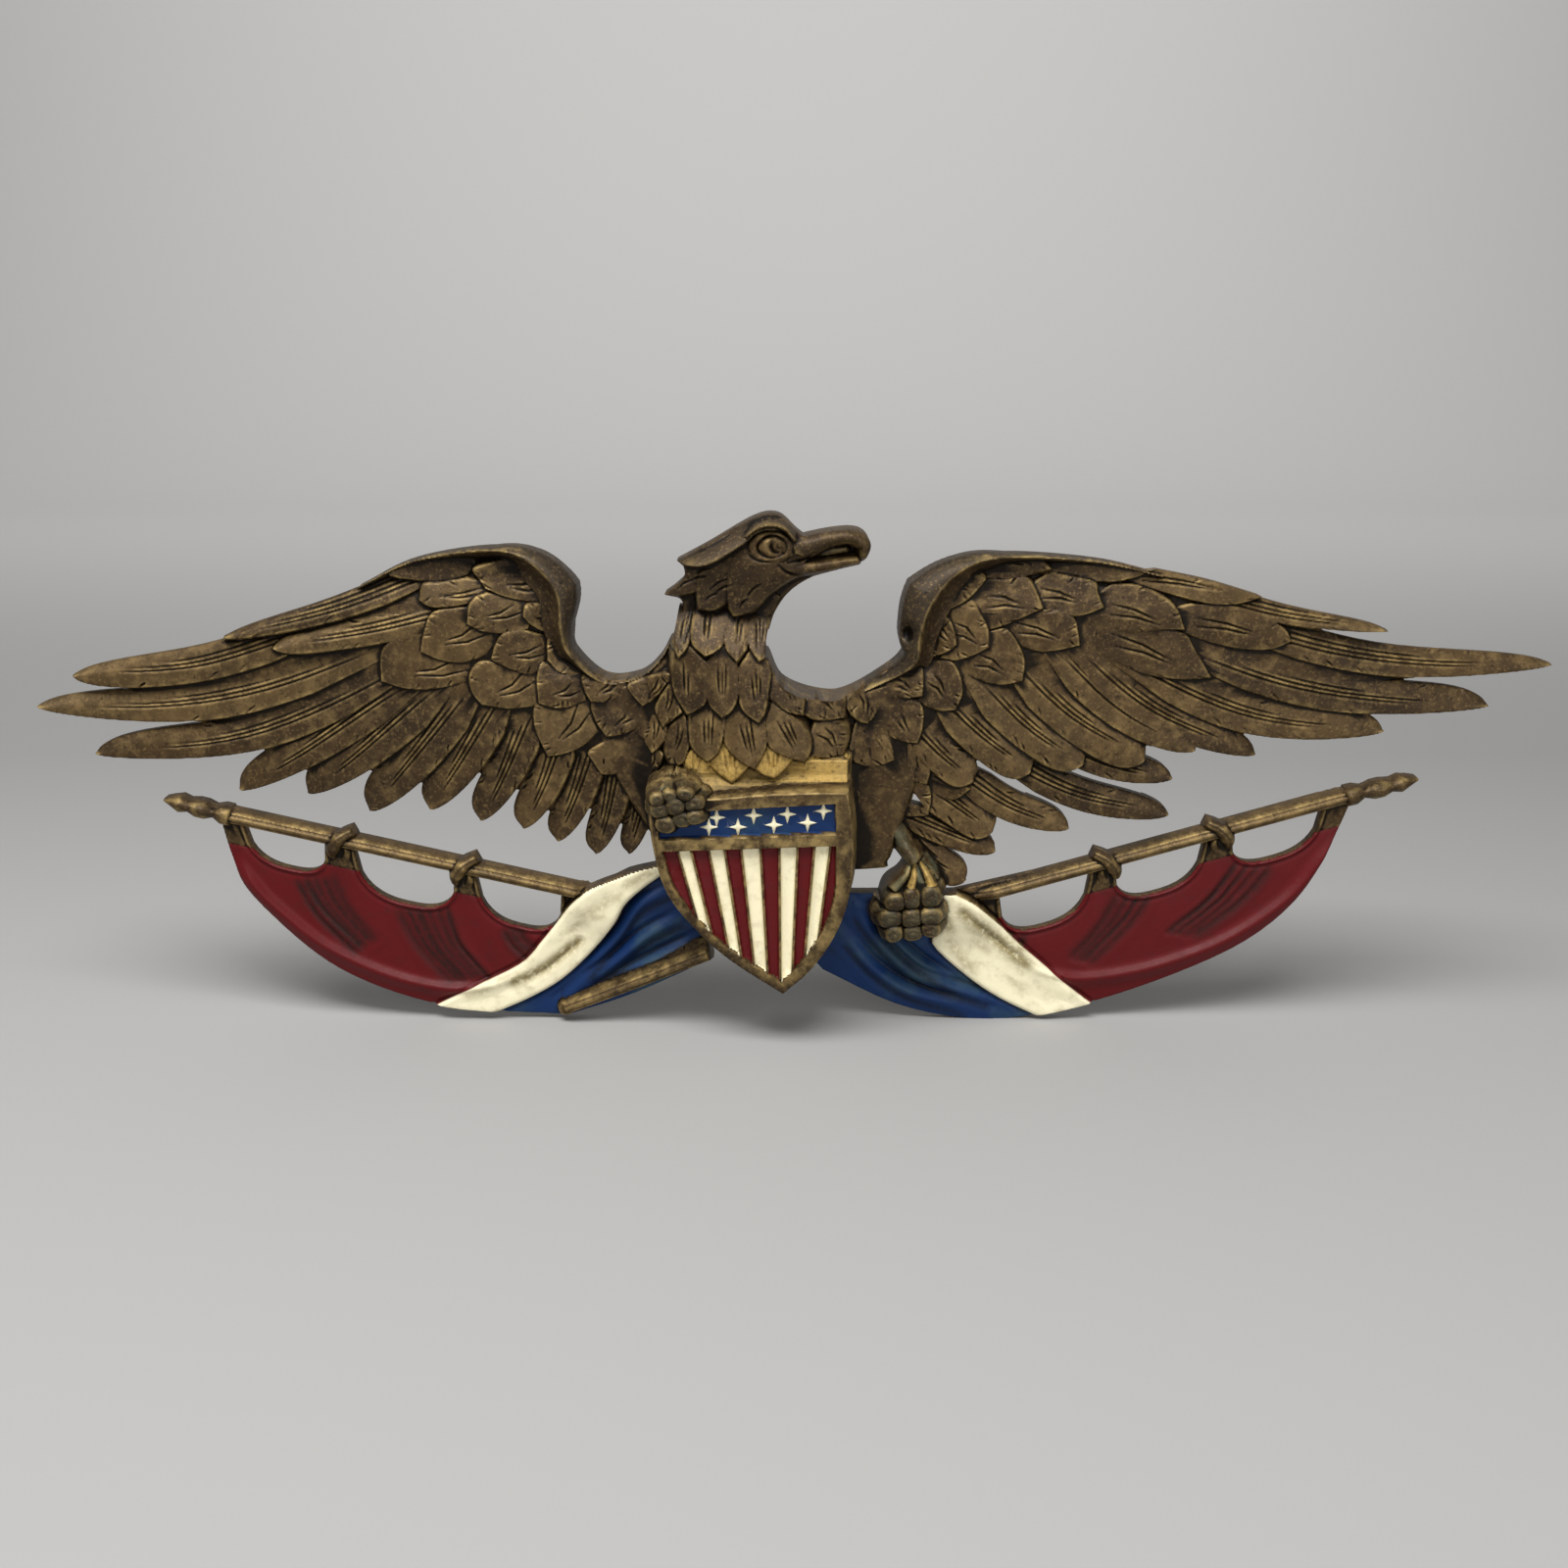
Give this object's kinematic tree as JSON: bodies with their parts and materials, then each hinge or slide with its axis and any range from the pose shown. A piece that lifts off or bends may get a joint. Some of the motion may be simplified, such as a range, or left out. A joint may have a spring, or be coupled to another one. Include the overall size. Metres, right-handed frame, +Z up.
{
  "type": "eagle wall plaque",
  "caption": "Cast metal wall plaque: a spread eagle on a striped shield between two furled flags, painted and antiqued.",
  "frame": {"origin": "centre of the flat bearing face at the middle of the back, behind the breast, at the height where the plaque hangs", "axes": "+Z up, +X to the viewer's right, -Y out of the wall toward the viewer; the back lies in the plane y = 0"},
  "size_m": [0.688, 0.05, 0.243],
  "materials": {
    "casting": "antiqued bronze-brown paint, semi-matt, with dark wash in the hollows and painted red, off-white and blue fields"
  },
  "bodies": {
    "root": {"eagle_plaque": "casting"}
  },
  "joints": []
}
